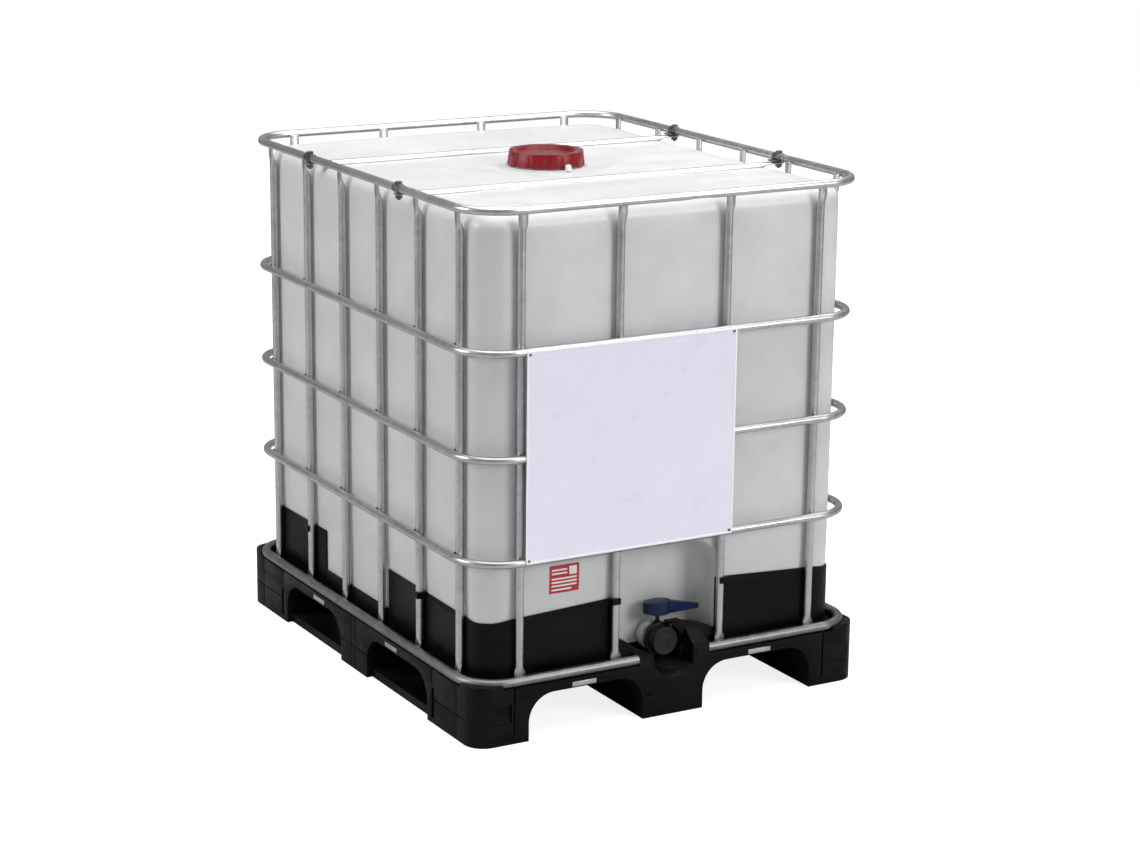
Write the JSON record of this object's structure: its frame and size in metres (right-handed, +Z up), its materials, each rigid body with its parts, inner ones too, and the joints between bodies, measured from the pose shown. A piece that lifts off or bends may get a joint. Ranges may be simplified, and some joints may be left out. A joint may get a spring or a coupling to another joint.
{
  "type": "intermediate bulk container",
  "caption": "Caged intermediate bulk container: a translucent bottle in a galvanised tube cage on a black plastic pallet, with a screw fill cap and a lever outlet valve.",
  "frame": {"origin": "on the floor under the middle of the pallet", "axes": "+Z up, +Y from the valve face to the back along the longer side, +X to the right when facing the valve"},
  "size_m": [1.0038, 1.2, 1.182],
  "materials": {
    "black_plastic": "moulded, slightly scuffed",
    "galvanised_steel": "dull galvanised with spangle",
    "label_plate": "smooth pale coating",
    "bottle_plastic": "translucent natural polyethylene",
    "red_plastic": "semi-gloss dark red",
    "pale_plastic": "plain",
    "seal_rubber": "plain",
    "valve_plastic": "moulded",
    "blue_plastic": "semi-gloss dark blue"
  },
  "bodies": {
    "container": {"pallet_deck": "black_plastic", "skid_left": "black_plastic", "skid_centre": "black_plastic", "skid_right": "black_plastic", "corner_guard_front_left": "black_plastic", "corner_guard_front_right": "black_plastic", "corner_guard_rear_left": "black_plastic", "corner_guard_rear_right": "black_plastic", "cage_clip_1": "galvanised_steel", "cage_clip_2": "galvanised_steel", "cage_clip_3": "galvanised_steel", "cage_clip_4": "galvanised_steel", "cage_clip_5": "galvanised_steel", "cage_clip_6": "galvanised_steel", "cage_clip_7": "galvanised_steel", "cage_clip_8": "galvanised_steel", "bottom_ring": "galvanised_steel", "low_ring": "galvanised_steel", "mid_ring": "galvanised_steel", "high_ring": "galvanised_steel", "top_ring": "galvanised_steel", "left_upright_1": "galvanised_steel", "left_upright_2": "galvanised_steel", "left_upright_3": "galvanised_steel", "left_upright_4": "galvanised_steel", "left_upright_5": "galvanised_steel", "left_upright_6": "galvanised_steel", "right_upright_1": "galvanised_steel", "right_upright_2": "galvanised_steel", "right_upright_3": "galvanised_steel", "right_upright_4": "galvanised_steel", "right_upright_5": "galvanised_steel", "right_upright_6": "galvanised_steel", "front_upright_1": "galvanised_steel", "front_upright_2": "galvanised_steel", "front_upright_3": "galvanised_steel", "front_upright_4": "galvanised_steel", "rear_upright_1": "galvanised_steel", "rear_upright_2": "galvanised_steel", "rear_upright_3": "galvanised_steel", "rear_upright_4": "galvanised_steel", "cross_bar_front": "galvanised_steel", "cross_bar_rear": "galvanised_steel", "cross_bar_bolt_1": "galvanised_steel", "cross_bar_bolt_2": "galvanised_steel", "cross_bar_bolt_3": "galvanised_steel", "cross_bar_bolt_4": "galvanised_steel", "label_plate": "label_plate", "bottle": "bottle_plastic", "valve_union_nut": "pale_plastic", "outlet_seal": "seal_rubber", "valve_body": "valve_plastic"},
    "fill_cap_seal_body": {"fill_cap_seal": "seal_rubber"},
    "fill_cap_liner_body": {"fill_cap_liner": "pale_plastic"},
    "fill_cap_body": {"fill_cap": "red_plastic"},
    "dust_cap_seal_body": {"dust_cap_seal": "seal_rubber"},
    "dust_cap_body": {"dust_cap": "valve_plastic"},
    "valve_handle_body": {"valve_handle": "blue_plastic", "valve_stem": "valve_plastic", "valve_ball": "pale_plastic"}
  },
  "joints": [
    {"name": "fill_cap_lift", "type": "slide", "parent": "container", "child": "fill_cap_seal_body", "axis": [0, 0, 1], "range_m": [0, 0.12]},
    {"name": "fill_cap_rise", "type": "slide", "parent": "fill_cap_seal_body", "child": "fill_cap_liner_body", "axis": [0, 0, 1], "range_m": [0, 0.0125]},
    {"name": "fill_cap_turn", "type": "hinge", "parent": "fill_cap_liner_body", "child": "fill_cap_body", "pos_m": [0, 0, 1.166], "axis": [0, 0, 1], "range_deg": [0, 540]},
    {"name": "dust_cap_travel", "type": "slide", "parent": "container", "child": "dust_cap_seal_body", "axis": [0, -1, 0], "range_m": [0, 0.019]},
    {"name": "dust_cap_turn", "type": "hinge", "parent": "dust_cap_seal_body", "child": "dust_cap_body", "pos_m": [0, -0.5555, 0.158], "axis": [0, -1, 0], "range_deg": [0, 1080]},
    {"name": "valve_handle_turn", "type": "hinge", "parent": "container", "child": "valve_handle_body", "pos_m": [0, -0.527, 0.2], "axis": [0, 0, 1], "range_deg": [-90, 0]}
  ],
  "couplings": [
    {"joint": "fill_cap_rise", "follows": "fill_cap_turn", "m_per_rad": 0.0012732},
    {"joint": "dust_cap_travel", "follows": "dust_cap_turn", "m_per_rad": 0.00095493}
  ]
}
